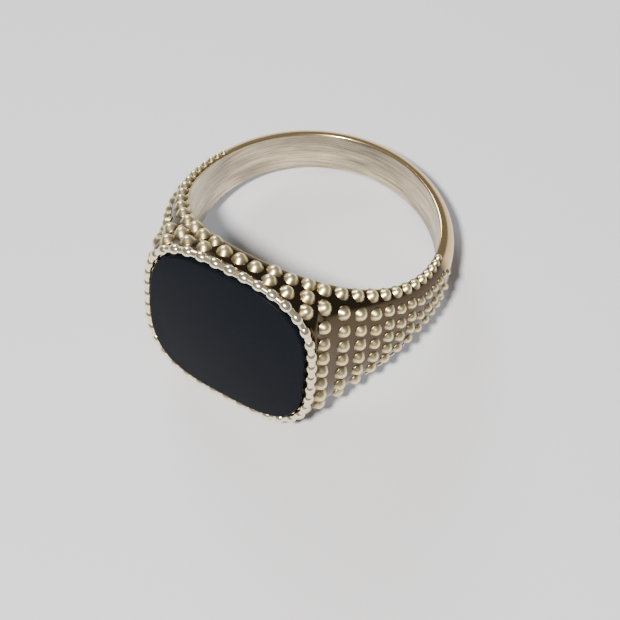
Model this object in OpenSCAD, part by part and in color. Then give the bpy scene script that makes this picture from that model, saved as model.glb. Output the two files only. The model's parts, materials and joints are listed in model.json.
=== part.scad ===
// Cushion signet ring: a black stone in a beaded bezel on a tapering band whose head and shoulders
// carry rows of raised grains. The ring lies on its side on a flat surface, z = 0, at rest: its
// bore leans a little off upright, because the head is broader than the back of the band.
// Every piece is drawn in the ring's own frame (bore axis = z, stone facing -y, angles measured
// round the bore from the head's middle) and laid down by lying().

/* [Band] */
// Inside diameter, the finger size
bore_d = 19; // [15:0.1:23]
// Width of the band at the back
back_w = 3.7; // [2.5:0.1:6]
// Thickness of the band at the back
back_t = 1.2; // [0.9:0.05:2.2]
// Width of the band at the head
head_w = 14; // [11:0.1:18]
// How fast the width falls away from the head
width_fall = 3; // [2:0.1:4]
// Angle over which the shoulder sinks from the head to the band's thickness
shoulder_fall = 13; // [8:1:24]

/* [Stone] */
// Stone width across the finger
stone_w = 13.4; // [10:0.1:17]
// Stone length along the finger
stone_l = 13.3; // [10:0.1:17]
// Stone thickness
stone_t = 1.3; // [0.8:0.05:1.6]
// Squareness of the cushion outline: 2 is an ellipse
stone_square = 3.15; // [2.5:0.05:5]
// Bevel round the stone's front edge
stone_bevel = 0.12; // [0.05:0.01:0.3]
// Height of the stone's face above the bore wall
face_h = 2.6; // [2.3:0.05:4]
// Thickness of the cement bed under the stone
cement_t = 0.1; // [0.05:0.01:0.2]
// Gap between the stone and the metal round it
stone_gap = 0.02; // [0.01:0.01:0.06]

/* [Bezel] */
// Number of grains round the stone
bezel_grains_n = 40; // [30:1:48]
// Diameter of a bezel grain
bezel_grain_d = 0.8; // [0.5:0.05:0.95]
// Width of the collar that the bezel grains stand on
collar_w = 0.5; // [0.4:0.05:0.7]
// Height of the collar above the head
collar_h = 0.4; // [0.3:0.05:0.5]
// Drop from the stone's face to the collar's top
collar_drop = 0.4; // [0.3:0.05:0.5]

/* [Grains] */
// Columns of grains on each shoulder
shoulder_columns = 13; // [9:1:14]
// Spacing of the grains down a shoulder column
row_pitch = 1.45; // [1.3:0.05:1.8]
// Angle from the head's corner to the first shoulder column
first_gap = 2.3; // [1.5:0.1:5]
// Angle of the last shoulder column
last_column = 101.5; // [90:0.5:110]
// Grain diameter at the head
grain_d = 1; // [0.6:0.05:1.05]
// Grain diameter at the last column
end_grain_d = 0.5; // [0.4:0.05:0.55]
// Grain columns on each side wall of the head (odd)
side_columns = 9; // [7:2:9]
// Angle from the head's corner to the last side wall column
side_margin = 3.9; // [3:0.1:8]
// Wall height that each side wall grain takes up
side_pitch = 1.3; // [1.2:0.05:1.6]
// Height of a grain as a share of its radius
grain_rise = 0.9; // [0.7:0.05:1]
// Height of the rim row above the bore wall, in grain diameters
rim_row = 0.7; // [0.6:0.05:0.8]

/* [Hidden] */

$fn = 96;
gold = [0.80, 0.74, 0.58];
bright_gold = [0.88, 0.82, 0.66];
onyx = [0.09, 0.10, 0.13];
cement_tint = [0.75, 0.73, 0.66];

bore_r = bore_d / 2;
face_y = bore_r + face_h;                  // stone's face, in front of the bore axis
collar_y = face_y - collar_drop;           // collar's top
front_y = collar_y - collar_h;             // flat front of the head
head_grow = stone_gap + collar_w;          // head outline outside the stone outline
head_x = stone_w / 2 + head_grow;
head_z = stone_l / 2 + head_grow;
corner_angle = atan(head_x / front_y);     // where the flat front ends
corner_t = front_y / cos(corner_angle) - bore_r;
first_column = corner_angle + first_gap;
side_step = (corner_angle - side_margin) / ((side_columns - 1) / 2);
ridge = 0.2;                               // half-width of the flat crown along the shoulders
back_power = 2.4;                          // roundness of the band's section at the back
head_power = 3.4;                          // and beside the head: larger is squarer
undercut = 6;                              // how fast a wall flares out under a broader face
inside = 0.8;                              // metal left inside the bore line, for the bore to cut

// The shape of the ring, at the angle f round the bore from the head's middle.
function half_width(f) = (back_w + (head_w - back_w) * pow((1 + cos(f)) / 2, width_fall)) / 2;
function on_face(f) = cos(f) > cos(corner_angle);
function away(f) = acos(cos(f));
function top_radius(f) = on_face(f) ? front_y / cos(f)
    : bore_r + back_t + (corner_t - back_t) * exp((corner_angle - away(f)) / shoulder_fall);
function face_reach(f) =
    on_face(f) ? head_z * pow(max(0, 1 - pow(abs(tan(f)) * front_y / head_x, stone_square)),
                              1 / stone_square) : 0;
function crown(f) = max(ridge, face_reach(f));
function section_power(f) = on_face(f)
    ? head_power - (head_power - 2) * face_reach(f) / head_z
    : back_power + (head_power - back_power) * exp((corner_angle - away(f)) / (2 * shoulder_fall));

// A point of the outer surface. u runs from 0 at the rim to 90 at the crown.
function rise(f, u) = pow(max(sin(u), 0), 2 / section_power(f));
function fall(f, u) =
    pow(max(cos(u), 0), (half_width(f) < crown(f) ? undercut : 1) * 2 / section_power(f));
function skin_r(f, u) = bore_r + (top_radius(f) - bore_r) * rise(f, u);
function skin_z(f, u) = crown(f) + (half_width(f) - crown(f)) * fall(f, u);
function polar(f, r, z) = [r * sin(f), -r * cos(f), z];
function skin(f, u) = polar(f, skin_r(f, u), skin_z(f, u));
function unit(v) = v / norm(v);
function skin_normal(f, u, step = 0.5) =
    unit(cross(skin(f, u + step) - skin(f, u - step), skin(f + step, u) - skin(f - step, u)));
// u where the surface stands h above the bore line, and where it is at height z.
function u_at_height(f, h) = asin(pow(h / (top_radius(f) - bore_r), section_power(f) / 2));
function u_at_z(f, z) =
    acos(pow(min(1, max(0, (z - crown(f)) / (half_width(f) - crown(f)))), section_power(f) / 2));

// The cushion outline, grown by g, and the same outline walked in even steps.
function cushion_point(t) = [
    stone_w / 2 * sign(cos(t)) * pow(abs(cos(t)), 2 / stone_square),
    stone_l / 2 * sign(sin(t)) * pow(abs(sin(t)), 2 / stone_square)];
function cushion_normal(t) =
    unit([sign(cos(t)) * pow(abs(cos(t)), 2 - 2 / stone_square) / stone_w,
          sign(sin(t)) * pow(abs(sin(t)), 2 - 2 / stone_square) / stone_l]);
function cushion_grown(t, g) = cushion_point(t) + g * cushion_normal(t);
function running(steps, i = 0, sum = 0) =
    i > len(steps) - 1 ? [sum] : concat([sum], running(steps, i + 1, sum + steps[i]));

// Angles round the ring at which the body has a section: even steps along the head's outline,
// then even steps round the shoulders and the back.
face_steps = 12;
back_steps = 40;
head_sections = [for (i = [-face_steps : face_steps])
    sign(i) * atan(head_x * pow(sin(abs(i) * 90 / face_steps), 2 / stone_square) / front_y)];
sections = concat(head_sections,
    [for (i = [1 : back_steps - 1]) corner_angle + i * (360 - 2 * corner_angle) / back_steps]);
wall_steps = [8, 20, 36, 54, 72, 90];       // the flat land of the rim ends at the first

// Rows of grains on the head's side wall, from the rim to the bezel, in the column at angle f.
function side_wall(f) = collar_y / cos(f) - bore_r - bezel_grain_d / 2;
function side_count(f) = max(1, round(side_wall(f) / side_pitch));
function side_u(f, k) = u_at_height(f, side_wall(f) * (k + 0.5) / side_count(f));

// How the ring lies: it rests on a grain of the lower side wall, or on the middle grain of the
// bezel, and on the lower rim at the back. Grains are balls: [forward, down, radius].
sunk = 1 - grain_rise;
reach = stone_gap + bezel_grain_d / 2;     // centre of a bezel grain outside the stone outline
head_rests = concat(
    [[collar_y - sunk * bezel_grain_d / 2, stone_l / 2 + reach, bezel_grain_d / 2]],
    [for (i = [0 : (side_columns - 1) / 2]) let (f = i * side_step) for (k = [0 : side_count(f) - 1])
        let (u = side_u(f, k), p = skin(f, u) - skin_normal(f, u) * sunk * grain_d / 2)
            [-p[1], p[2], grain_d / 2]]);
back_rests = [for (u = [wall_steps[0] : 4 : 90]) [skin_r(180, u), skin_z(180, u)]];
lie = min([for (b = back_rests)
    max([for (h = head_rests)
        asin(h[2] / norm([h[0] + b[0], h[1] - b[1]])) + atan((h[1] - b[1]) / (h[0] + b[0]))])]);
lift = max([for (h = head_rests) h[1] * cos(lie) - h[0] * sin(lie) + h[2]]);
front_reach = max(head_rests[0][0] * cos(lie) + head_rests[0][1] * sin(lie) + head_rests[0][2],
                  face_y * cos(lie) + (stone_l / 2 - stone_bevel) * sin(lie));
back_reach = max([for (b = back_rests) b[0] * cos(lie) + b[1] * sin(lie)]);
shift = (front_reach - back_reach) / 2;

module lying() {
    translate([0, shift, lift]) rotate([-lie, 0, 0]) children();
}

// A flat cushion, t thick, whose front lies y in front of the bore axis.
module cushion_plate(y, t, g) {
    translate([0, t - y, 0]) rotate([90, 0, 0]) linear_extrude(t)
        polygon([for (i = [0 : 71]) cushion_grown(i * 5, g)]);
}

// One raised grain, flat side on the surface at p, facing n.
module grain(p, n, d) {
    translate(p) rotate([0, acos(n[2]), atan2(n[1], n[0])]) difference() {
        translate([0, 0, -sunk * d / 2]) sphere(d = d);
        translate([-d, -d, -2 * d]) cube(2 * d);
    }
}

module body_blank() {
    wall = len(wall_steps);
    rim_u = wall_steps[0];
    ring = [for (f = sections) concat(
        [polar(f, bore_r - inside, skin_z(f, rim_u))],
        [for (u = wall_steps) skin(f, u)],
        [for (i = [wall - 1 : -1 : 0]) let (p = skin(f, wall_steps[i])) [p[0], p[1], -p[2]]],
        [polar(f, bore_r - inside, -skin_z(f, rim_u))])];
    n = len(sections);
    m = 2 * wall + 2;
    polyhedron(
        points = [for (row = ring) for (p = row) p],
        faces = [for (i = [0 : n - 1]) for (j = [0 : m - 1])
            let (a = i * m + j, b = i * m + (j + 1) % m,
                 c = ((i + 1) % n) * m + (j + 1) % m, d = ((i + 1) % n) * m + j)
            for (face = [[a, c, b], [a, d, c]]) face]);
}

module ring_body() {
    color(gold) lying() difference() {
        body_blank();
        translate([0, 0, -head_w]) cylinder(d = bore_d, h = 2 * head_w);
        cushion_plate(face_y, stone_t + cement_t, stone_gap);
    }
}

module bezel_collar() {
    color(bright_gold) lying() difference() {
        cushion_plate(collar_y, collar_h, stone_gap + collar_w);
        cushion_plate(collar_y + 1, collar_h + 2, stone_gap);
    }
}

module bezel_grains() {
    fine = 360;
    outline = [for (i = [0 : fine]) cushion_grown(i * 360 / fine, reach)];
    walked = running([for (i = [1 : fine]) norm(outline[i] - outline[i - 1])]);
    angles = [for (i = [0 : fine]) [walked[i], i * 360 / fine]];
    pitch = walked[fine] / bezel_grains_n;
    color(bright_gold) lying()
        for (i = [0 : bezel_grains_n - 1])
            let (p = cushion_grown(lookup(i * pitch, angles), reach))
                grain([p[0], -collar_y, p[1]], [0, -1, 0], bezel_grain_d);
}

// Where u stands along the column at angle f, measured from the seat of its rim grain.
function column_walk(f, low) = let (
    steps = 24,
    u = [for (i = [0 : steps]) low + (90 - low) * i / steps],
    run = running([for (i = [1 : steps])
        norm([skin_r(f, u[i]) - skin_r(f, u[i - 1]), skin_z(f, u[i]) - skin_z(f, u[i - 1])])]))
    [for (i = [0 : steps]) [run[i], u[i]]];

// Grains in columns round one shoulder, closer together and smaller towards the back. A column
// holds as many as fit from rim to rim, in even steps along the section.
module shoulder_grains() {
    last = shoulder_columns - 1;
    color(gold)
        for (i = [0 : last])
            let (s = i / last,
                 f = first_column + (last_column - first_column) * s * (1 + (1 - s) / 3),
                 d = grain_d + (end_grain_d - grain_d) * s,
                 walk = column_walk(f, u_at_height(f, d * rim_row)),
                 half = walk[len(walk) - 1][0] + crown(f),
                 gaps = max(2, round(2 * half / row_pitch)))
                for (k = [0 : gaps])
                    let (from_crown = half * abs(1 - 2 * k / gaps), side = 2 * k > gaps ? -1 : 1,
                         u = lookup(half - from_crown, walk),
                         p = skin(f, u), n = skin_normal(f, min(u, 88)))
                        grain([p[0], p[1], side * min(p[2], from_crown)],
                              unit([n[0], n[1], from_crown > crown(f) ? side * n[2] : 0]), d);
}

// Grains on the head's side wall: each column holds as many as fit from the rim to the bezel.
module side_grains() {
    half = (side_columns - 1) / 2;
    color(gold)
        for (i = [-half : half])
            let (f = i * side_step)
                for (k = [0 : side_count(f) - 1])
                    grain(skin(f, side_u(f, k)), skin_normal(f, side_u(f, k)), grain_d);
}

module shoulder_grains_right() { lying() shoulder_grains(); }

module shoulder_grains_left() { lying() mirror([1, 0, 0]) shoulder_grains(); }

module side_grains_upper() { lying() side_grains(); }

module side_grains_lower() { lying() mirror([0, 0, 1]) side_grains(); }

module stone_cement() {
    color(cement_tint) lying() cushion_plate(face_y - stone_t, cement_t, 0);
}

module black_stone() {
    color(onyx) lying() hull() {
        cushion_plate(face_y, stone_t, -stone_bevel);
        cushion_plate(face_y - stone_bevel, stone_t - stone_bevel, 0);
    }
}

ring_body();
bezel_collar();
bezel_grains();
shoulder_grains_right();
shoulder_grains_left();
side_grains_upper();
side_grains_lower();
stone_cement();
black_stone();
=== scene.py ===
# %% [markdown]
# # A cushion signet ring
# The ring lies on its side: a flat black stone in a beaded bezel, a head and shoulders covered in
# rows of raised grains, and a plain polished band at the back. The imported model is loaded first
# and never changed. Each visible piece is built to the same sizes in the ring's own frame, in
# millimetres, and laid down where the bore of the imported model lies.

# %% Load the fixed frame
import json
import math
import bmesh
import bpy
import numpy as np
from mathutils import Matrix, Vector


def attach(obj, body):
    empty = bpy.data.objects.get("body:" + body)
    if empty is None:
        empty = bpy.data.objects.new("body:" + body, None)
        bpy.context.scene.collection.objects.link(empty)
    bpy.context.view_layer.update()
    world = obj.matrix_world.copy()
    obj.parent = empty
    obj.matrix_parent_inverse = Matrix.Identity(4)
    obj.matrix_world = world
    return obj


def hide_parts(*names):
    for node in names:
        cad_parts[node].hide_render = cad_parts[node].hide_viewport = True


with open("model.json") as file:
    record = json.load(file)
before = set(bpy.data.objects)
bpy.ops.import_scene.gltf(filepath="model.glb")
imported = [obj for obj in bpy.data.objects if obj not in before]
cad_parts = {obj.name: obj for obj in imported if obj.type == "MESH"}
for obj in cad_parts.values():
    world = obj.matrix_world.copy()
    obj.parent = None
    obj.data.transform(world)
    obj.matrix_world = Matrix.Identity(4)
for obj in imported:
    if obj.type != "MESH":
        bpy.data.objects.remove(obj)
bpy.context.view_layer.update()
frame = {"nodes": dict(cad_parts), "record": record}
print("packed nodes:", sorted(frame["nodes"]))

# %% [markdown]
# ## Where the ring lies
# The bore's own mount gives the ring's place and lean. In the ring frame the bore is the z axis
# and the stone faces -y, so a piece is drawn upright and one matrix lays it down in metres.

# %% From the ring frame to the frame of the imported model
MM = 0.001
bore = frame["record"]["mounts"][0]
bore_axis = Vector(bore["axis"]).normalized()
lean = math.atan2(bore_axis.y, bore_axis.z)
lay_turn = Matrix.Rotation(-lean, 4, "X")
lay_down = Matrix.Translation(Vector(bore["pos_m"])) @ lay_turn @ Matrix.Scale(MM, 4)
print("bore leans", round(math.degrees(lean), 2), "degrees")

# %% [markdown]
# ## Sizes
# These are the maker's sizes, in millimetres and degrees. Every curve further down is worked out
# from them, so a change here moves what sits on it as well.

# %% Driving sizes
BORE_R = bore["dims"]["r_mm"]
BACK_W, BACK_T = 3.7, 1.2          # plain band at the back: width and thickness
HEAD_W = 14.0                      # width of the band at the head
WIDTH_FALL = 3.0                   # how fast the width falls away
SHOULDER_FALL = 13.0               # degrees over which the shoulder sinks to the band
BACK_POWER, HEAD_POWER = 2.4, 3.4  # roundness of the band's section
UNDERCUT = 6.0                     # how fast a wall flares out under a broader face
RIDGE = 0.2                        # half-width of the crown along the shoulders
RIM_ROUND = 0.14                   # rounding of the bore's edges
STONE_W, STONE_L, STONE_T = 13.4, 13.3, 1.3
STONE_SQUARE = 3.15                # squareness of the cushion outline: 2 is an oval
STONE_GAP, CEMENT_T = 0.02, 0.1    # clearance round the stone, and the bed under it
FACE_H = 2.6                       # stone's face above the bore wall
COLLAR_W, COLLAR_H = 0.5, 0.4
COLLAR_DROP = 0.4                  # from the stone's face down to the collar's top
BEAD_D, BEAD_COUNT = 0.8, 40
GRAIN_D, END_GRAIN_D = 1.0, 0.5    # grains by the head, and in the last column
GRAIN_RISE = 0.9                   # how far a grain or bead stands up, in its own radii
COLUMNS, ROW_PITCH = 13, 1.45      # shoulder columns, and the spacing down a column
RIM_ROW = 0.7                      # height of the rim row, in grain diameters
FIRST_GAP, LAST_COLUMN = 2.3, 101.5  # degrees past the head's corner, and from its middle
SIDE_COLUMNS, SIDE_PITCH = 9, 1.3  # columns on a side wall, and the height a grain takes up
SIDE_MARGIN = 3.9                  # degrees from the last side column to the head's corner

face_y = BORE_R + FACE_H
collar_y = face_y - COLLAR_DROP
front_y = collar_y - COLLAR_H
head_x = STONE_W / 2 + STONE_GAP + COLLAR_W
head_z = STONE_L / 2 + STONE_GAP + COLLAR_W
corner = math.degrees(math.atan(head_x / front_y))
corner_t = front_y / math.cos(math.radians(corner)) - BORE_R
print("head corner at", round(corner, 2), "degrees; shoulder there", round(corner_t, 2), "mm thick")

# %% [markdown]
# ## The band's surface as a formula
# A cast signet ring is one smooth skin. At each angle round the bore its section is a rounded
# hump, a superellipse, whose width and height change with the angle. A sculpted mesh could have
# this shape too, but with the skin as a function the grains can ask it for their seats and for
# the way they point. Below, f is the angle round the bore in degrees, from the head's middle.

# %% Width, height and squareness of the section
def half_width(f):
    return (BACK_W + (HEAD_W - BACK_W) * ((1 + np.cos(np.radians(f))) / 2) ** WIDTH_FALL) / 2

def away(f):
    return np.degrees(np.arccos(np.clip(np.cos(np.radians(f)), -1, 1)))

def on_face(f):
    return away(f) < corner - 1e-6    # a section on the corner itself is off the face

def top_radius(f):
    slope = BORE_R + BACK_T + (corner_t - BACK_T) * np.exp((corner - away(f)) / SHOULDER_FALL)
    return np.where(on_face(f), front_y / np.cos(np.radians(np.minimum(away(f), corner))), slope)

def face_reach(f):
    x = np.minimum(np.tan(np.radians(np.minimum(away(f), corner))) * front_y / head_x, 1)
    return np.where(on_face(f), head_z * (1 - x ** STONE_SQUARE) ** (1 / STONE_SQUARE), 0)

def section_power(f):
    face = HEAD_POWER - (HEAD_POWER - 2) * face_reach(f) / head_z
    band = BACK_POWER + (HEAD_POWER - BACK_POWER) * np.exp((corner - away(f)) / (2 * SHOULDER_FALL))
    return np.where(on_face(f), face, band)

print("half-widths at the head and the back:", half_width(0.0), half_width(180.0), "mm")

# %% A point of the skin, and the way it faces
def skin(f, u):
    """A point of the skin. u runs from 0 at the rim to 90 at the crown."""
    f, u = np.broadcast_arrays(np.asarray(f, float), np.asarray(u, float))
    power, turn, up = 2 / section_power(f), np.radians(f), np.radians(u)
    r = BORE_R + (top_radius(f) - BORE_R) * np.clip(np.sin(up), 0, 1) ** power
    crown = np.maximum(RIDGE, face_reach(f))
    fall = np.where(half_width(f) < crown, UNDERCUT, 1) * power
    z = crown + (half_width(f) - crown) * np.clip(np.cos(up), 0, 1) ** fall
    return np.stack([r * np.sin(turn), -r * np.cos(turn), z], -1)

def skin_normal(f, u, step=0.5):
    n = np.cross(skin(f, u + step) - skin(f, u - step), skin(f + step, u) - skin(f - step, u))
    return n / np.linalg.norm(n, axis=-1, keepdims=True)

def u_at_height(f, h):
    """The u at which the skin stands h above the bore wall."""
    return np.degrees(np.arcsin((h / (top_radius(f) - BORE_R)) ** (section_power(f) / 2)))

print("band at the back:", np.round(skin(180.0, 90.0), 2), "mm")

# %% [markdown]
# ## Meshes from rings of points
# Most pieces are a closed loop of sections. One helper turns such a grid of points into quads, and
# one bakes modifiers into a plain mesh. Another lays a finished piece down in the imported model's
# frame. Its object stays at the origin and its place is in its mesh, because patterns are read
# from there. A piece could be moved as an object instead, but its pattern would then move as well.

# %% Mesh helpers
def loft(name, rings, capped=False):
    """Quads between sections. The sections close on themselves, and so does the row of them
    unless it is capped with a flat face at both ends."""
    n, m = rings.shape[:2]
    last = n - 1 if capped else n
    faces = [(i * m + j, i * m + (j + 1) % m, (i + 1) % n * m + (j + 1) % m, (i + 1) % n * m + j)
             for i in range(last) for j in range(m)]
    if capped:
        faces += [tuple(range(m))[::-1], tuple((n - 1) * m + j for j in range(m))]
    mesh = bpy.data.meshes.new(name)
    mesh.from_pydata(rings.reshape(-1, 3).tolist(), [], faces)
    piece = bpy.data.objects.new(name, mesh)
    bpy.context.scene.collection.objects.link(piece)
    face_outwards(piece)
    return piece

def face_outwards(piece):
    work = bmesh.new()
    work.from_mesh(piece.data)
    bmesh.ops.recalc_face_normals(work, faces=work.faces)
    if work.calc_volume(signed=True) < 0:
        bmesh.ops.reverse_faces(work, faces=work.faces)
    work.to_mesh(piece.data)
    work.free()

def bake_modifiers(piece):
    """Turns the evaluated shape into a plain mesh and drops the modifiers."""
    graph = bpy.context.evaluated_depsgraph_get()
    mesh = bpy.data.meshes.new_from_object(piece.evaluated_get(graph), depsgraph=graph)
    mesh.name = piece.name
    piece.modifiers.clear()
    piece.data = mesh

print("a millimetre is", lay_down.to_scale().x, "m in the packed model")

# %% Laying a piece down
def finished(piece, material, slot, *nodes):
    """Lays the piece down, gives it its material and hands it to the frame. A piece with no
    painted shade of its own gets a stored value of 1 everywhere, which paints no shade."""
    piece.data.transform(lay_down)
    if not piece.data.materials:
        piece.data.materials.append(material)
    if "crest" not in piece.data.attributes:
        everywhere = piece.data.attributes.new("crest", "FLOAT", "POINT")
        everywhere.data.foreach_set("value", [1.0] * len(piece.data.vertices))
    piece.data.polygons.foreach_set("use_smooth", [True] * len(piece.data.polygons))
    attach(piece, "root")
    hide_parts(*nodes)
    print(piece.name, len(piece.data.polygons), "faces")

print("the bore's middle lies at", [round(x / MM, 3) for x in lay_down.translation], "mm")

# %% [markdown]
# ## Colours and nodes
# Colours are written as sRGB hex values, as they would be read off a swatch, and one function
# turns them to linear light, which is what the shaders add up. Another function adds a node with
# its settings and links. It serves shaders and Geometry Nodes alike, so a tree reads as a list.

# %% Colour and node helpers
def linear(swatch):
    parts = [int(swatch[i:i + 2], 16) / 255 for i in (1, 3, 5)]
    return (*[c / 12.92 if c <= 0.04045 else ((c + 0.055) / 1.055) ** 2.4 for c in parts], 1)

def add(tree, kind, inputs=None, **settings):
    """One node: settings are its own options, inputs are values or sockets to link from."""
    made = tree.nodes.new(kind)
    for key, value in settings.items():
        setattr(made, key, value)
    for key, value in (inputs or {}).items():
        if isinstance(value, bpy.types.NodeSocket):
            tree.links.new(value, made.inputs[key])
        else:
            made.inputs[key].default_value = value
    return made

def new_material(name):
    material = bpy.data.materials.new(name)
    material.use_nodes = True
    tree = material.node_tree
    return material, tree, tree.nodes["Principled BSDF"]

def ramp(tree, value, *stops):
    """A colour ramp from (place, colour) stops."""
    made = add(tree, "ShaderNodeValToRGB", {"Fac": value})
    band = made.color_ramp.elements
    while len(band) < len(stops):
        band.new(1)
    for element, (place, colour) in zip(band, stops):
        element.position, element.color = place, colour
    return made.outputs["Color"]

print("a mid grey swatch in linear light:", round(linear("#808080")[0], 3))

# %% [markdown]
# ## Gold plate, polished
# The outside is pale gold plate over a cast base: polished metal that wear has softened with fine
# marks. Metal has no colour under its gloss, so all of the look is in the tint, the roughness and
# what it reflects. One plain tint would look like plastic. Here the roughness drifts in blotches,
# a fine bump breaks the reflections, and a value stored on the mesh paints shade into the colour:
# brown and dull in the hollows between the grains and round each grain's foot. The grains' gold is
# paler than the band's, and the bezel's is near white, a painted highlight where its beads catch
# the light.

# %% Polished gold plate
BLOTCH, WEAR_MARK = 2.5, 0.35      # mm: drifts in the polish, and the marks of wear
WEAR_DEPTH = 0.02                  # mm
SMOOTHER, DULLER = 0.7, 1.4        # how far the roughness drifts, as shares of it

def grain_coordinates(tree, along=1.0, across=1.0):
    """Object coordinates turned to the ring frame and scaled round the finger or along it. A
    scale under 1 draws the pattern out."""
    place = add(tree, "ShaderNodeTexCoord").outputs["Object"]
    turned = add(tree, "ShaderNodeVectorRotate",
                 {"Vector": place, "Center": bore["pos_m"], "Axis": (1, 0, 0), "Angle": lean})
    return add(tree, "ShaderNodeVectorMath",
               {0: turned.outputs[0], 1: (along, along, across)}, operation="MULTIPLY").outputs[0]

def polished_gold(name, tint, painted_shade_tint, rough):
    """Gold plate in its tint where the stored value is 1; painted shade, dull and brown, where it
    is 0.
    """
    material, tree, shader = new_material(name)
    place = grain_coordinates(tree)
    blotches = add(tree, "ShaderNodeTexNoise",
                   {"Vector": place, "Scale": 1 / (BLOTCH * MM), "Detail": 3.0})
    # the stored value paints shade: where it falls to 0 the colour turns to the dark shade tint
    crest = add(tree, "ShaderNodeAttribute", attribute_name="crest").outputs["Fac"]
    colour = ramp(tree, crest, (0.0, linear(painted_shade_tint)), (0.75, linear(tint)))
    shader.inputs["Metallic"].default_value = 1
    tree.links.new(colour, shader.inputs["Base Color"])
    spread = add(tree, "ShaderNodeMapRange",
                 {"Value": blotches.outputs["Fac"], "To Min": rough * SMOOTHER,
                  "To Max": rough * DULLER})
    tree.links.new(spread.outputs[0], shader.inputs["Roughness"])
    marks = add(tree, "ShaderNodeTexNoise",
                {"Vector": place, "Scale": 1 / (WEAR_MARK * MM), "Detail": 4.0})
    bump = add(tree, "ShaderNodeBump",
               {"Height": marks.outputs["Fac"], "Strength": 0.12, "Distance": WEAR_DEPTH * MM})
    tree.links.new(bump.outputs[0], shader.inputs["Normal"])
    return material

# each has its name, the tint of its polished metal, the painted shade tint of its hollows, and its
# roughness
band_gold = polished_gold("polished_gold_plate_band", "#D9BC86", "#43392E", 0.16)
grain_gold = polished_gold("polished_gold_plate_grains", "#F2E1AE", "#5A4C38", 0.3)
# the bezel's near-white tint is a painted highlight where the beads catch the light
bezel_gold = polished_gold("bright_gold_plate_bezel", "#FBEDC8", "#6A5E4A", 0.2)
print("polished:", band_gold.name, grain_gold.name, bezel_gold.name)

# %% [markdown]
# ## Gold plate, brushed
# The bore is finished with a rotary brush, so fine lines run round the finger, in wider bands of
# light and dark. Noise that is drawn out round the finger gives the lines, and it moves the tint,
# the roughness and the bump together, as a real scratch does. The shine is also made to spread
# across the lines, which no bump as fine as this would do. Real brush lines are finer than 0.1
# mm; they are drawn as coarse as they need to be to show.

# %% Brushed bore
BRUSH_LINE, BRUSH_BAND = 0.1, 1.6  # mm: a line of the brush, and the bands of light and dark
BRUSH_DEPTH = 0.015                # mm
LINE_DRAWN, BAND_DRAWN = 0.03, 0.35    # round the finger: less is longer

def brushed_gold():
    material, tree, shader = new_material("brushed_gold_plate_bore")
    lines = add(tree, "ShaderNodeTexNoise",
                {"Vector": grain_coordinates(tree, LINE_DRAWN),
                 "Scale": 1 / (BRUSH_LINE * MM), "Detail": 4.0})
    bands = add(tree, "ShaderNodeTexNoise",
                {"Vector": grain_coordinates(tree, BAND_DRAWN),
                 "Scale": 1 / (BRUSH_BAND * MM), "Detail": 3.0})
    both = add(tree, "ShaderNodeMath",
               {0: lines.outputs["Fac"], 1: bands.outputs["Fac"]}, operation="ADD")
    half = add(tree, "ShaderNodeMath", {0: both.outputs[0], 1: 0.5}, operation="MULTIPLY")
    tone = ramp(tree, half.outputs[0],
                (0.36, linear("#7E7870")), (0.5, linear("#B3A78F")), (0.64, linear("#EDE1C2")))
    tree.links.new(tone, shader.inputs["Base Color"])
    shader.inputs["Metallic"].default_value = 1
    spread = add(tree, "ShaderNodeMapRange",
                 {"Value": lines.outputs["Fac"], "To Min": 0.2, "To Max": 0.38})
    tree.links.new(spread.outputs[0], shader.inputs["Roughness"])
    bump = add(tree, "ShaderNodeBump",
               {"Height": lines.outputs["Fac"], "Strength": 0.4, "Distance": BRUSH_DEPTH * MM})
    tree.links.new(bump.outputs[0], shader.inputs["Normal"])
    along_bore = add(tree, "ShaderNodeCombineXYZ", {0: bore_axis.x, 1: bore_axis.y, 2: bore_axis.z})
    shader.inputs["Anisotropic"].default_value = 0.8    # the shine spreads across the brush lines
    tree.links.new(along_bore.outputs[0], shader.inputs["Tangent"])
    return material

bore_gold = brushed_gold()
print("brushed:", bore_gold.name)

# %% [markdown]
# ## The ring body
# The band, shoulders and head are one casting. Its section runs up the bore wall, round a small
# soft edge, over the skin to the crown and back down the other side. Joining simple solids would
# leave creases where the head meets the shoulders; one row of sections has none. Sections are set
# close together where the head turns into the shoulders.

# %% Ring body
SKIN_STEPS = 22                    # points of a section from the rim to the crown
FACE_STEPS, BACK_STEPS = 25, 161   # sections over half the head, and round the rest
WALL_STEPS = 4                     # points up half the bore wall
RIM_TURN = [0, 22.5, 45, 67.5]     # degrees round the soft edge

def section(f):
    """One closed section of the casting at the angle f."""
    turn = math.radians(f)
    w = float(half_width(f))
    land = float(u_at_height(f, RIM_ROUND * 1.15))    # the skin starts just above the soft edge
    wall = np.linspace(0, 1, WALL_STEPS + 1)[:-1] * (w - RIM_ROUND)
    half = [(BORE_R, z) for z in wall]
    half += [(BORE_R + RIM_ROUND * (1 - math.cos(a)), w - RIM_ROUND * (1 - math.sin(a)))
             for a in np.radians(RIM_TURN)]
    outer = skin(f, np.linspace(land, 90, SKIN_STEPS))
    half += [(math.hypot(p[0], p[1]), p[2]) for p in outer]
    both = half + [(r, -z) for r, z in half[::-1][:-1]]
    return [(r * math.sin(turn), -r * math.cos(turn), z) for r, z in both]

face_step = np.radians(np.linspace(0, 90, FACE_STEPS))
on_head = np.degrees(np.arctan(head_x * np.sin(face_step) ** (2 / STONE_SQUARE) / front_y))
round_back = corner + np.linspace(0, 1, BACK_STEPS)[1:-1] * (360 - 2 * corner)
angles = np.concatenate([-on_head[::-1], on_head[1:], round_back])
body = loft("band_casting", np.array([section(f) for f in angles]))
print("casting sections:", len(angles))

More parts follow.
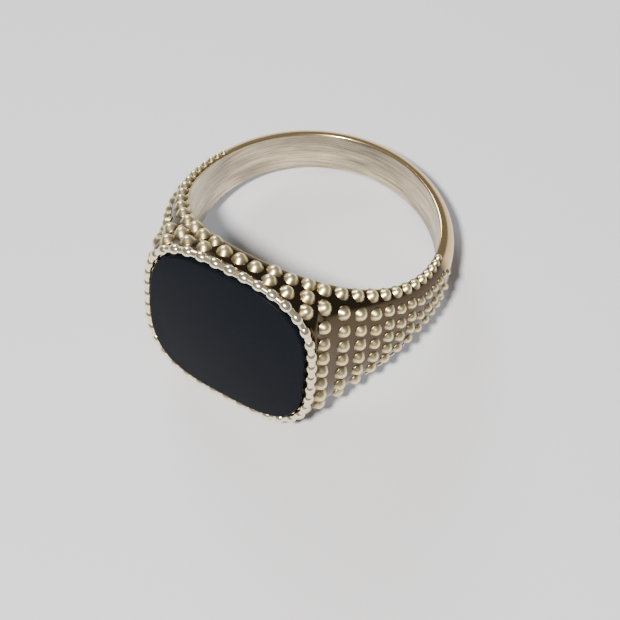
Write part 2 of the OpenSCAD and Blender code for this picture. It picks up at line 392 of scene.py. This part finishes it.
# %% [markdown]
# ## The cushion outline
# The stone, its pocket, the collar and the row of beads all follow one outline: a square with
# bowed sides and round corners. It could be drawn as a curve by hand; a superellipse gives it from
# two sizes and a squareness, and can be grown outwards for each piece. Its points are spread
# evenly along its length, because even steps of its angle bunch up along the sides.

# %% Cushion outline
OUTLINE_POINTS = 144
MEASURED_ANGLES = np.linspace(0, 360, 1441)

def cushion(t, grow):
    """The cushion outline at t degrees, grown outwards."""
    c, s = np.cos(np.radians(t)), np.sin(np.radians(t))
    p = np.stack([STONE_W / 2 * np.sign(c) * abs(c) ** (2 / STONE_SQUARE),
                  STONE_L / 2 * np.sign(s) * abs(s) ** (2 / STONE_SQUARE)], -1)
    n = np.stack([np.sign(c) * abs(c) ** (2 - 2 / STONE_SQUARE) / STONE_W,
                  np.sign(s) * abs(s) ** (2 - 2 / STONE_SQUARE) / STONE_L], -1)
    return p + grow * n / np.linalg.norm(n, axis=-1, keepdims=True)

def run_along(points):
    """The distance walked to each point of a line."""
    return np.concatenate([[0], np.cumsum(np.linalg.norm(np.diff(points, axis=0), axis=1))])

def cushion_rings(profile):
    """Rings of the cushion outline, each at a distance in front of the bore axis and a growth."""
    run = run_along(cushion(MEASURED_ANGLES, 0))
    even = np.linspace(0, run[-1], OUTLINE_POINTS, endpoint=False)
    t = np.interp(even, run, MEASURED_ANGLES)
    return np.array([[(x, -y, z) for x, z in cushion(t, grow)] for y, grow in profile])

print("the stone is", round(run_along(cushion(MEASURED_ANGLES, 0))[-1], 2), "mm round")

# %% [markdown]
# ## The pocket, and the finish of the body
# A pocket is milled into the flat front of the head for the stone. A Boolean does the same here,
# with a tool lofted from the stone's own outline, so its wall keeps the clearance all round.

# %% Pocket
TOOL_REACH = 1.0                   # mm that the tool stands out in front of the stone's face

def cut_pocket(piece):
    """Cuts the stone's pocket out of the flat front of the head."""
    floor_y = face_y - STONE_T - CEMENT_T
    rings = cushion_rings([(face_y + TOOL_REACH, STONE_GAP), (floor_y, STONE_GAP)])
    tool = loft("pocket_tool", rings, capped=True)
    cut = piece.modifiers.new("pocket", "BOOLEAN")
    cut.operation, cut.solver, cut.object = "DIFFERENCE", "EXACT", tool
    bake_modifiers(piece)
    bpy.data.objects.remove(tool)

cut_pocket(body)
face_outwards(body)
print("the body has", len(body.data.polygons), "faces with its pocket")

# %% [markdown]
# The bore wall is brushed and the rest is polished, so faces on the bore get a second material.
# A value on each point tells the gold where to paint shade: in the hollows where the grains crowd
# and would lie in shade. A shader could find hollows by itself, but a stored value says just where
# the painted shade goes: under the grains, fading out past the last column.

# %% Finish of the body
# The darkening of the hollows is painted shade; these sizes place it and set how dark it gets.
FADE_FROM, FADE_OVER = 5, 9        # degrees past the last column where the hollows end, and fade
EDGE_FROM, EDGE_OVER = 0.05, 0.35  # mm from the bore wall where they start, and reach full depth
PAINTED_SHADE_DEPTH = 0.97
BORE_BAND = 0.01                   # mm: a face this near the bore line is on the bore

points = np.array([v.co for v in body.data.vertices])
around = np.degrees(np.arctan2(points[:, 0], -points[:, 1]))
out = np.hypot(points[:, 0], points[:, 1])
grain_zone = np.clip((LAST_COLUMN + FADE_FROM - away(around)) / FADE_OVER, 0, 1)
outside = np.clip((out - BORE_R - EDGE_FROM) / EDGE_OVER, 0, 1)
# painted shade: 1 leaves the gold its tint, lower values darken it towards the shade tint
crest = body.data.attributes.new("crest", "FLOAT", "POINT")
crest.data.foreach_set("value", 1 - PAINTED_SHADE_DEPTH * grain_zone * outside)
body.data.materials.append(band_gold)
body.data.materials.append(bore_gold)
for face in body.data.polygons:
    middle = face.center
    if math.hypot(middle.x, middle.y) < BORE_R + BORE_BAND and -middle.y < front_y:
        face.material_index = 1
finished(body, band_gold, "gold_band", "ring_body")

# %% [markdown]
# ## Grains
# The raised grains are the ring's main pattern: small domes in rows, melted a little into the
# metal they stand on. Each could be modelled in its place. Here Geometry Nodes stands one small
# grain on every seat, turned to the way the skin faces and sized for its column, so a change of
# the skin moves them all. A little unevenness, from a fixed seed, keeps the rows from looking
# machined. A shape that repeats this often has only a few dozen faces.

# %% One grain, turned on a lathe
GRAIN_SIDES = 12

def lathe(name, profile):
    """A closed solid of revolution from (radius, height) pairs, top first, with painted shade at
    its foot.
    """
    turn = np.linspace(0, 2 * np.pi, GRAIN_SIDES, endpoint=False)
    points = [(0, 0, profile[0][1])]
    points += [(r * math.cos(a), r * math.sin(a), h) for r, h in profile[1:] for a in turn]
    faces = [(0, 1 + j, 1 + (j + 1) % GRAIN_SIDES) for j in range(GRAIN_SIDES)]
    for i in range(len(profile) - 2):
        a, b = 1 + i * GRAIN_SIDES, 1 + (i + 1) * GRAIN_SIDES
        faces += [(a + j, b + j, b + (j + 1) % GRAIN_SIDES, a + (j + 1) % GRAIN_SIDES)
                  for j in range(GRAIN_SIDES)]
    foot = 1 + (len(profile) - 2) * GRAIN_SIDES
    faces.append(tuple(foot + j for j in range(GRAIN_SIDES))[::-1])
    mesh = bpy.data.meshes.new(name)
    mesh.from_pydata(points, [], faces)
    # painted shade: the stored value runs from 1 at the top to 0 at the foot, where the flare meets
    # the metal
    low, high = profile[-1][1], profile[0][1]
    crest = [(p[2] - low) / (high - low) for p in points]
    mesh.attributes.new("crest", "FLOAT", "POINT").data.foreach_set("value", crest)
    piece = bpy.data.objects.new(name, mesh)
    bpy.context.scene.collection.objects.link(piece)
    return piece

def dome_profile(rise):
    """A round dome of radius 1 that flares out into the metal it stands on. The last point is
    below the skin, so that the flare ends inside the metal."""
    sunk = 1 - rise
    dome = [(math.sin(a), math.cos(a) - sunk) for a in np.radians([0, 26, 48])]
    flare = [(0.95, 0.28), (1.14, 0.08), (1.36, -0.18)]
    return dome + flare

grain = lathe("grain", dome_profile(GRAIN_RISE))
print("one grain has", len(grain.data.polygons), "faces")

# %% Geometry Nodes: a grain on every seat
UNEVEN = 0.04                      # a grain is up to this much larger or smaller
SEED = 7                           # for the right shoulder; the other pieces give their own

def grain_tree():
    """Reads from each seat the way it faces, outward, and its grain's radius, width."""
    tree = bpy.data.node_groups.new("grains_on_seats", "GeometryNodeTree")
    socket = tree.interface.new_socket
    socket("Seats", in_out="INPUT", socket_type="NodeSocketGeometry")
    socket("Grain", in_out="INPUT", socket_type="NodeSocketObject")
    socket("Size", in_out="INPUT", socket_type="NodeSocketFloat").default_value = 1
    socket("Unevenness", in_out="INPUT", socket_type="NodeSocketFloat").default_value = UNEVEN
    socket("Seed", in_out="INPUT", socket_type="NodeSocketInt").default_value = SEED
    socket("Finish", in_out="INPUT", socket_type="NodeSocketMaterial")
    socket("Grains", in_out="OUTPUT", socket_type="NodeSocketGeometry")
    start = add(tree, "NodeGroupInput").outputs
    outward = add(tree, "GeometryNodeInputNamedAttribute",
                  {"Name": "outward"}, data_type="FLOAT_VECTOR")
    width = add(tree, "GeometryNodeInputNamedAttribute", {"Name": "width"}, data_type="FLOAT")
    turn = add(tree, "FunctionNodeAlignRotationToVector",
               {"Vector": outward.outputs["Attribute"]}, axis="Z")
    low = add(tree, "ShaderNodeMath", {0: 1.0, 1: start["Unevenness"]}, operation="SUBTRACT")
    high = add(tree, "ShaderNodeMath", {0: 1.0, 1: start["Unevenness"]}, operation="ADD")
    wobble = add(tree, "FunctionNodeRandomValue", data_type="FLOAT")
    tree.links.new(low.outputs[0], wobble.inputs[2])
    tree.links.new(high.outputs[0], wobble.inputs[3])
    tree.links.new(start["Seed"], wobble.inputs["Seed"])
    sized = add(tree, "ShaderNodeMath",
                {0: width.outputs["Attribute"], 1: wobble.outputs[1]}, operation="MULTIPLY")
    scaled = add(tree, "ShaderNodeMath",
                 {0: sized.outputs[0], 1: start["Size"]}, operation="MULTIPLY")
    shape = add(tree, "GeometryNodeObjectInfo", {"Object": start["Grain"]})
    placed = add(tree, "GeometryNodeInstanceOnPoints",
                 {"Points": start["Seats"], "Instance": shape.outputs["Geometry"],
                  "Rotation": turn.outputs[0], "Scale": scaled.outputs[0]})
    solid = add(tree, "GeometryNodeRealizeInstances", {"Geometry": placed.outputs[0]})
    painted = add(tree, "GeometryNodeSetMaterial",
                  {"Geometry": solid.outputs[0], "Material": start["Finish"]})
    add(tree, "NodeGroupOutput", {0: painted.outputs[0]})
    return tree

seat_tree = grain_tree()
print("grain tree:", len(seat_tree.nodes), "nodes")

# %% From a list of seats to a piece
def set_inputs(modifier, **values):
    """Sets a modifier's inputs by the sockets' identifiers, found from their names."""
    for item in modifier.node_group.interface.items_tree:
        if item.item_type == "SOCKET" and item.name in values:
            modifier[item.identifier] = values[item.name]

def grains(name, seats, material, slot, node, seed=SEED):
    """A piece of grains from seats: (point, outward, radius) rows in the ring frame."""
    places, normals, radii = zip(*seats)
    mesh = bpy.data.meshes.new(name)
    mesh.from_pydata([tuple(p) for p in places], [], [])
    outward = mesh.attributes.new("outward", "FLOAT_VECTOR", "POINT")
    outward.data.foreach_set("vector", np.array(normals, float).ravel())
    mesh.attributes.new("width", "FLOAT", "POINT").data.foreach_set("value", radii)
    piece = bpy.data.objects.new(name, mesh)
    bpy.context.scene.collection.objects.link(piece)
    made = piece.modifiers.new("grains", "NODES")
    made.node_group = seat_tree
    set_inputs(made, Grain=grain, Finish=material, Seed=seed)
    bake_modifiers(piece)
    finished(piece, material, slot, node)

print("the grain tree asks for:", [item.name for item in seat_tree.interface.items_tree][:-1])

# %% [markdown]
# Down each shoulder the grains stand in columns, from one rim over the crown to the other. They
# keep an even spacing down a column, so a broad column by the head holds more than a narrow one
# at the back. The spacing is walked along the section itself: even steps of its angle would crowd
# the grains where it curves hard.

# %% Seats on the shoulders
WALK_STEPS = 60
SKIN_END = 88                      # the last u at which the skin's normal is well defined
DRIFT = 3                          # columns draw together towards the back: less is sooner

def shoulder_column(f, d):
    """Seats from rim to rim, in even steps along the section: as many as fit."""
    u = np.linspace(float(u_at_height(f, d * RIM_ROW)), 90, WALK_STEPS)
    line = skin(f, u)
    run = run_along(np.stack([np.hypot(line[:, 0], line[:, 1]), line[:, 2]], -1))
    half = run[-1] + RIDGE
    gaps = max(2, round(2 * half / ROW_PITCH))
    seats = []
    for k in range(gaps + 1):
        from_crown, side = half * abs(1 - 2 * k / gaps), -1 if 2 * k > gaps else 1
        here = np.interp(half - from_crown, run, u)
        p, n = skin(f, here), skin_normal(f, min(here, SKIN_END))
        n[2] = side * n[2] if from_crown > RIDGE else 0
        seats.append(((p[0], p[1], side * min(p[2], from_crown)), n / np.linalg.norm(n), d / 2))
    return seats

def shoulder_seats(side):
    """Columns from the head's corner to the last one, closer together towards the back."""
    seats = []
    first = corner + FIRST_GAP
    for i in range(COLUMNS):
        s = i / (COLUMNS - 1)
        f = first + (LAST_COLUMN - first) * s * (1 + (1 - s) / DRIFT)
        seats += shoulder_column(f, GRAIN_D + (END_GRAIN_D - GRAIN_D) * s)
    return [(np.multiply(p, (side, 1, 1)), n * (side, 1, 1), r) for p, n, r in seats]

grains("shoulder_grains_right_hand", shoulder_seats(1), grain_gold, "gold_grains",
       "shoulder_grains_right")
grains("shoulder_grains_left_hand", shoulder_seats(-1), grain_gold, "gold_grains",
       "shoulder_grains_left", seed=11)

# %% [markdown]
# The head's two side walls carry the same grains. Their columns stand a fixed number of degrees
# apart, and each takes as many grains as fit between the rim and the bezel.

# %% Seats on the head's side walls
def side_seats(side):
    """Seats on one side wall: side is 1 for the upper one and -1 for the lower."""
    seats = []
    flip = np.array([1, 1, side])
    half = (SIDE_COLUMNS - 1) // 2
    for i in range(-half, half + 1):
        f = i * (corner - SIDE_MARGIN) / half
        wall = collar_y / math.cos(math.radians(f)) - BORE_R - BEAD_D / 2
        count = max(1, round(wall / SIDE_PITCH))
        for k in range(count):
            u = u_at_height(f, wall * (k + 0.5) / count)
            seats.append((skin(f, u) * flip, skin_normal(f, u) * flip, GRAIN_D / 2))
    return seats

grains("side_wall_grains_upper", side_seats(1), grain_gold, "gold_grains",
       "side_grains_upper", seed=3)
grains("side_wall_grains_lower", side_seats(-1), grain_gold, "gold_grains",
       "side_grains_lower", seed=5)

# %% [markdown]
# ## The bezel
# A low collar holds the stone. It could be a bevelled curve; it is lofted like the stone, from the
# same outline, so the two keep their clearance all round, and its top edges are softened.

# %% Collar
COLLAR_SOFT = 0.08                 # rounding of the collar's top edges
COLLAR_SUNK = 0.02                 # how far its foot is let into the head
OUTER_TURN, INNER_TURN = (0, 30, 60, 90), (90, 120, 150, 180)   # degrees round the two edges

def collar_profile():
    """The collar's section: its height and its growth from the stone, outside first."""
    inner, outer = STONE_GAP, STONE_GAP + COLLAR_W
    low, high = front_y - COLLAR_SUNK, collar_y
    edges = [(outer - COLLAR_SOFT, OUTER_TURN), (inner + COLLAR_SOFT, INNER_TURN)]
    top = [(high - COLLAR_SOFT + COLLAR_SOFT * math.sin(math.radians(a)),
            middle + COLLAR_SOFT * math.cos(math.radians(a)))
           for middle, turn in edges for a in turn]
    return [(low, outer)] + top + [(low, inner)]

collar = loft("bezel_collar_wall", cushion_rings(collar_profile()))
finished(collar, bezel_gold, "gold_bezel", "bezel_collar")

# %% [markdown]
# A row of beads stands on the collar. On the real ring they are so close that casting and plating
# have run them together. Round balls would stand apart, so each is drawn out a little along the
# row, and a thin wire runs through them all. Geometry Nodes walks the cushion outline in even
# steps and sets a bead at each.

# %% Geometry Nodes: beads along the outline
BEAD_STRETCH, WIRE_D = 1.35, 0.55  # length of a bead in diameters, and the wire, in mm

def bead_tree():
    tree = bpy.data.node_groups.new("beads_on_outline", "GeometryNodeTree")
    socket = tree.interface.new_socket
    socket("Outline", in_out="INPUT", socket_type="NodeSocketGeometry")
    socket("Bead Diameter", in_out="INPUT", socket_type="NodeSocketFloat").default_value = BEAD_D
    socket("Bead Count", in_out="INPUT", socket_type="NodeSocketInt").default_value = BEAD_COUNT
    socket("Stretch", in_out="INPUT", socket_type="NodeSocketFloat").default_value = BEAD_STRETCH
    socket("Wire Diameter", in_out="INPUT", socket_type="NodeSocketFloat").default_value = WIRE_D
    socket("Finish", in_out="INPUT", socket_type="NodeSocketMaterial")
    socket("Beads", in_out="OUTPUT", socket_type="NodeSocketGeometry")
    start = add(tree, "NodeGroupInput").outputs
    path = add(tree, "GeometryNodeMeshToCurve", {"Mesh": start["Outline"]}).outputs[0]
    even = add(tree, "GeometryNodeResampleCurve", {"Curve": path, "Count": start["Bead Count"]})
    radius = add(tree, "ShaderNodeMath", {0: start["Bead Diameter"], 1: 0.5}, operation="MULTIPLY")
    ball = add(tree, "GeometryNodeMeshUVSphere",
               {"Segments": 12, "Rings": 8, "Radius": radius.outputs[0]})
    along = add(tree, "GeometryNodeInputTangent").outputs[0]
    turn = add(tree, "FunctionNodeAlignRotationToVector", {"Vector": along}, axis="Z")
    longer = add(tree, "ShaderNodeCombineXYZ", {0: 1.0, 1: 1.0, 2: start["Stretch"]})
    placed = add(tree, "GeometryNodeInstanceOnPoints",
                 {"Points": even.outputs[0], "Instance": ball.outputs["Mesh"],
                  "Rotation": turn.outputs[0], "Scale": longer.outputs[0]})
    half_wire = add(tree, "ShaderNodeMath",
                    {0: start["Wire Diameter"], 1: 0.5}, operation="MULTIPLY")
    ring = add(tree, "GeometryNodeCurvePrimitiveCircle",
               {"Radius": half_wire.outputs[0], "Resolution": 10})
    wire = add(tree, "GeometryNodeCurveToMesh",
               {"Curve": path, "Profile Curve": ring.outputs["Curve"]})
    both = add(tree, "GeometryNodeJoinGeometry", {0: placed.outputs[0]})
    tree.links.new(wire.outputs[0], both.inputs[0])
    solid = add(tree, "GeometryNodeRealizeInstances", {"Geometry": both.outputs[0]})
    painted = add(tree, "GeometryNodeSetMaterial",
                  {"Geometry": solid.outputs[0], "Material": start["Finish"]})
    add(tree, "NodeGroupOutput", {0: painted.outputs[0]})
    return tree

bead_nodes = bead_tree()
print("bead tree:", len(bead_nodes.nodes), "nodes")

# %% Beads
bead_y = collar_y - (1 - GRAIN_RISE) * BEAD_D / 2
bead_line = cushion_rings([(bead_y, STONE_GAP + BEAD_D / 2)])[0]
last = len(bead_line)
mesh = bpy.data.meshes.new("bezel_beads")
mesh.from_pydata(bead_line.tolist(), [(i, (i + 1) % last) for i in range(last)], [])
beads = bpy.data.objects.new("bezel_beads", mesh)
bpy.context.scene.collection.objects.link(beads)
made = beads.modifiers.new("beads", "NODES")
made.node_group = bead_nodes
set_inputs(made, Finish=bezel_gold)
bake_modifiers(beads)
face_outwards(beads)
finished(beads, bezel_gold, "gold_bezel", "bezel_grains")
bpy.data.objects.remove(grain)     # the pattern for the grains isn't a piece of the ring

# %% [markdown]
# ## The stone
# Black onyx, sawn flat and finished to a fine satin rather than a mirror: nearly black with a
# little blue, and faint specks where the polish caught. It reflects very little of the room, so
# its gloss is set low. A soft bevel keeps its edge from chipping. A box with bevels couldn't have
# the bowed sides, so the stone is lofted from the outline.

# %% Onyx
SPECK, CLOUD = 0.12, 4.0           # mm: specks in the polish, and drifts in how satin it is
SPECK_DEPTH = 0.01                 # mm

def onyx():
    material, tree, shader = new_material("black_onyx_satin")
    place = grain_coordinates(tree)
    specks = add(tree, "ShaderNodeTexNoise",
                 {"Vector": place, "Scale": 1 / (SPECK * MM), "Detail": 2.0})
    clouds = add(tree, "ShaderNodeTexNoise",
                 {"Vector": place, "Scale": 1 / (CLOUD * MM), "Detail": 2.0})
    base = ramp(tree, specks.outputs["Fac"],
                (0.35, linear("#080B11")), (0.62, linear("#0B0F16")), (0.8, linear("#151922")))
    tree.links.new(base, shader.inputs["Base Color"])
    shader.inputs["Specular IOR Level"].default_value = 0.04
    spread = add(tree, "ShaderNodeMapRange",
                 {"Value": clouds.outputs["Fac"], "To Min": 0.36, "To Max": 0.46})
    tree.links.new(spread.outputs[0], shader.inputs["Roughness"])
    bump = add(tree, "ShaderNodeBump",
               {"Height": specks.outputs["Fac"], "Strength": 0.15, "Distance": SPECK_DEPTH * MM})
    tree.links.new(bump.outputs[0], shader.inputs["Normal"])
    return material

satin_onyx = onyx()
print("stone:", satin_onyx.name)

# %% Cushion stone
BEVEL = 0.12
BEVEL_TURN = [0, 22.5, 45, 67.5, 90]   # degrees round the bevel

edge = [(face_y - BEVEL * (1 - math.cos(a)), -BEVEL * (1 - math.sin(a)))
        for a in np.radians(BEVEL_TURN)]
stone_profile = edge + [(face_y - STONE_T, 0)]
stone = loft("onyx_cushion", cushion_rings(stone_profile), capped=True)
finished(stone, satin_onyx, "onyx", "black_stone")

# %% [markdown]
# ## The cement bed
# A thin bed of setting cement holds the stone down in its pocket: chalky, off-white and a little
# mottled. The stone hides all of it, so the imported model's own piece is shape enough and is kept,
# with this finish on it.

# %% Cement bed
MOTTLE = 0.6                       # mm

def cement():
    material, tree, shader = new_material("setting_cement")
    mottle = add(tree, "ShaderNodeTexNoise",
                 {"Vector": grain_coordinates(tree), "Scale": 1 / (MOTTLE * MM), "Detail": 3.0})
    colour = ramp(tree, mottle.outputs["Fac"], (0.3, linear("#B8B4A6")), (0.7, linear("#CFCBBE")))
    tree.links.new(colour, shader.inputs["Base Color"])
    shader.inputs["Roughness"].default_value = 0.55
    return material

bed = frame["nodes"]["stone_cement"]
bed.data.materials.clear()
bed.data.materials.append(cement())
print("cement bed:", bed.data.materials[0].name)

# %% [markdown]
# ## Floor, light and camera
# The ring lies on a pale board. It could stand on nothing, but then it would have no shadow to
# show that it rests. The camera looks down on the stone from its right, from far enough off that
# the ring isn't stretched.

# %% Floor
bpy.ops.mesh.primitive_plane_add(size=4)    # m: wide enough to fill every view
floor = bpy.context.object
floor.name = "floor"
paint, _, paint_shader = new_material("pale_board")
paint_shader.inputs["Base Color"].default_value = linear("#B9BCC4")
paint_shader.inputs["Roughness"].default_value = 0.8
floor.data.materials.append(paint)
print("floor:", paint.name)

# %% Camera
CAMERA_TURN, CAMERA_RISE, CAMERA_ROLL = 29.33, 47.19, 4.01   # degrees, in the ring frame
CAMERA_FAR = 140.0                                           # mm from the bore's centre
SENSOR, LENS = 36.0, 106.26                                  # mm
SHIFT = (-0.0062, -0.1156)                                   # moves the frame, not the view
round_bore, rise, roll = (math.radians(x) for x in (CAMERA_TURN, CAMERA_RISE, CAMERA_ROLL))
back = Vector((math.sin(round_bore) * math.cos(rise), -math.cos(round_bore) * math.cos(rise),
               math.sin(rise)))
right = (-back).cross(Vector((0, 0, 1))).normalized()
up = right.cross(-back)
right, up = (math.cos(roll) * right + math.sin(roll) * up,
             math.cos(roll) * up - math.sin(roll) * right)
turn = Matrix((right, up, back)).transposed().to_4x4()
camera = bpy.data.objects.new("camera", bpy.data.cameras.new("camera"))
bpy.context.scene.collection.objects.link(camera)
camera.matrix_world = Matrix.Translation(lay_down @ (back * CAMERA_FAR)) @ lay_turn @ turn
camera.data.sensor_width = SENSOR
camera.data.lens = LENS
camera.data.shift_x, camera.data.shift_y = SHIFT
camera.data.clip_start = 0.01                                # m
bpy.context.scene.camera = camera
print("camera at", [round(x, 4) for x in camera.matrix_world.translation], "m")

# %% [markdown]
# Polished metal shows what stands round it, so the light matters as much as the gold. A small
# warm lamp close by puts a sharp spark on each grain and gives the soft-edged shadow, a larger
# one behind picks out the rims, and an even pale surround fills the rest.

# %% Light
LIT_POINT = Vector((0, 0, 0.005))  # m: the lamps face the middle of the ring

def area_light(name, place, size, power, tint="#FFFFFF"):
    """A round lamp that faces the ring: its place and size in metres, its power in watts."""
    lamp = bpy.data.lights.new(name, "AREA")
    lamp.shape, lamp.size, lamp.energy = "DISK", size, power
    lamp.color = linear(tint)[:3]
    made = bpy.data.objects.new(name, lamp)
    bpy.context.scene.collection.objects.link(made)
    made.location = place
    made.rotation_euler = (LIT_POINT - Vector(place)).to_track_quat("-Z", "Y").to_euler()
    print(name, "lamp:", power, "W,", size, "m across")

area_light("key", (0.03, -0.105, 0.23), 0.03, 1.8, "#FFF6EA")
area_light("back", (-0.20, 0.16, 0.16), 0.12, 0.6)
world = bpy.data.worlds.new("studio")
bpy.context.scene.world = world
world.use_nodes = True
surround = world.node_tree.nodes["Background"].inputs
surround["Color"].default_value = linear("#C9CCD2")
surround["Strength"].default_value = 0.42
